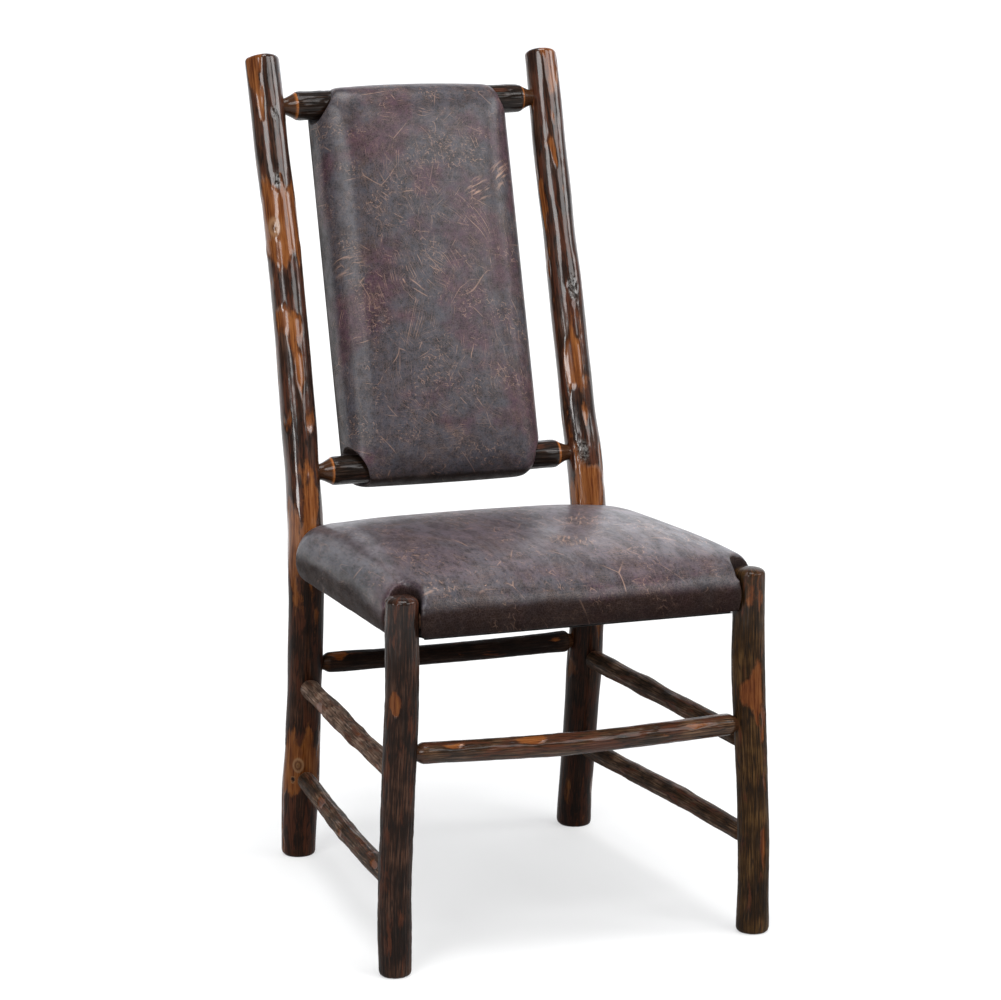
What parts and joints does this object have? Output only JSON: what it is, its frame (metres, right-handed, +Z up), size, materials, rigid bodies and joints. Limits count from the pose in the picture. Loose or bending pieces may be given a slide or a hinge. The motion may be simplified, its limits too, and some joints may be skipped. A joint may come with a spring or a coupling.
{
  "type": "upholstered side chair",
  "caption": "Rustic side chair of bark-on hickory poles, with a padded leather seat notched round the posts and a tall padded leather back panel carried on rails between bent rear posts.",
  "frame": {"origin": "on the floor, under the middle of the chair's overall box", "axes": "+X to the right for someone who faces the chair, -Y to the front, +Z up"},
  "size_m": [0.528, 0.7079, 1.0969],
  "materials": {
    "bark_hickory": "bark left on, glossy clear coat, orange-brown where the bark is worn off",
    "bare_hickory": "peeled, under the leather",
    "leather": "distressed slate brown with tan scratches",
    "plywood": "raw",
    "foam": "open-cell foam",
    "dust_cloth": "thin black cloth",
    "steel": "plain"
  },
  "bodies": {
    "root": {"back_board": "plywood", "back_cover": "leather", "back_foam": "foam", "board_screw_lower_left": "steel", "board_screw_lower_right": "steel", "board_screw_top_left": "steel", "board_screw_top_right": "steel", "deck_screw_front_left": "steel", "deck_screw_front_right": "steel", "deck_screw_rear_left": "steel", "deck_screw_rear_right": "steel", "front_post_left": "bark_hickory", "front_post_right": "bark_hickory", "front_stretcher": "bark_hickory", "front_stretcher_pin_left": "steel", "front_stretcher_pin_right": "steel", "left_lower_stretcher": "bark_hickory", "left_lower_stretcher_pin_front": "steel", "left_lower_stretcher_pin_rear": "steel", "left_upper_stretcher": "bark_hickory", "left_upper_stretcher_pin_front": "steel", "left_upper_stretcher_pin_rear": "steel", "lower_back_rail": "bark_hickory", "lower_back_rail_pin_left": "steel", "lower_back_rail_pin_right": "steel", "outside_back_board": "plywood", "outside_back_panel": "leather", "rear_post_left": "bark_hickory", "rear_post_right": "bark_hickory", "rear_stretcher": "bark_hickory", "rear_stretcher_pin_left": "steel", "rear_stretcher_pin_right": "steel", "right_lower_stretcher": "bark_hickory", "right_lower_stretcher_pin_front": "steel", "right_lower_stretcher_pin_rear": "steel", "right_upper_stretcher": "bark_hickory", "right_upper_stretcher_pin_front": "steel", "right_upper_stretcher_pin_rear": "steel", "seat_cover": "leather", "seat_deck": "plywood", "seat_dust_cover": "dust_cloth", "seat_foam": "foam", "seat_front_rail": "bare_hickory", "seat_left_rail": "bare_hickory", "seat_rear_rail": "bare_hickory", "seat_right_rail": "bare_hickory", "top_back_rail": "bark_hickory", "top_back_rail_pin_left": "steel", "top_back_rail_pin_right": "steel"}
  },
  "joints": []
}
